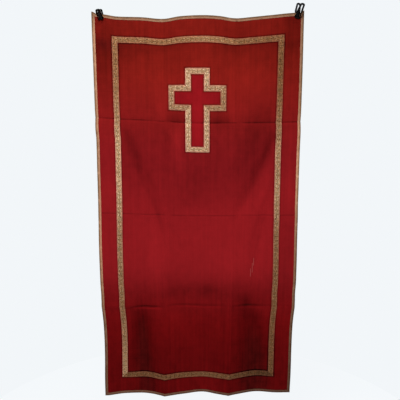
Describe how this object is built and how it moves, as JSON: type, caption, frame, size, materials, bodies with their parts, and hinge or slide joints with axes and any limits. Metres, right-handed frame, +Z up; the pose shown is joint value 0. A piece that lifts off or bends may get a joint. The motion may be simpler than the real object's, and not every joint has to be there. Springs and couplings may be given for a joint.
{
  "type": "wall tapestry with hanging clips",
  "caption": "Tall red church hanging with a woven galloon frame and cross, braid-bound edges and fold creases, hung by its top corners from spring clips with wire handles.",
  "frame": {"origin": "the middle of the line between the upper ends of the clips' wire handles, in the plane that the cloth hangs in, 45 mm above the level line of the cloth's top edge", "axes": "+Z up along the hanging's height, +X to the right as seen from the front, +Y out of the back; the decorated face looks along -Y"},
  "size_m": [1.046, 0.1321, 2.0731],
  "materials": {
    "ground_cloth": "matt rep weave",
    "galloon": "woven metal-thread braid with a dull lustre",
    "edge_braid": "narrow woven braid, slight lustre",
    "clip_steel": "black, satin",
    "clip_wire": "black, glossy"
  },
  "bodies": {
    "root": {"cloth": "ground_cloth", "binding_top": "edge_braid", "binding_bottom": "edge_braid", "binding_left": "edge_braid", "binding_right": "edge_braid", "frame_galloon_top": "galloon", "frame_galloon_bottom": "galloon", "frame_galloon_left": "galloon", "frame_galloon_right": "galloon", "cross_galloon": "galloon", "clip_body_left": "clip_steel", "clip_body_right": "clip_steel", "clip_handle_left_front": "clip_wire", "clip_handle_left_back": "clip_wire", "clip_handle_right_front": "clip_wire", "clip_handle_right_back": "clip_wire"}
  },
  "joints": []
}
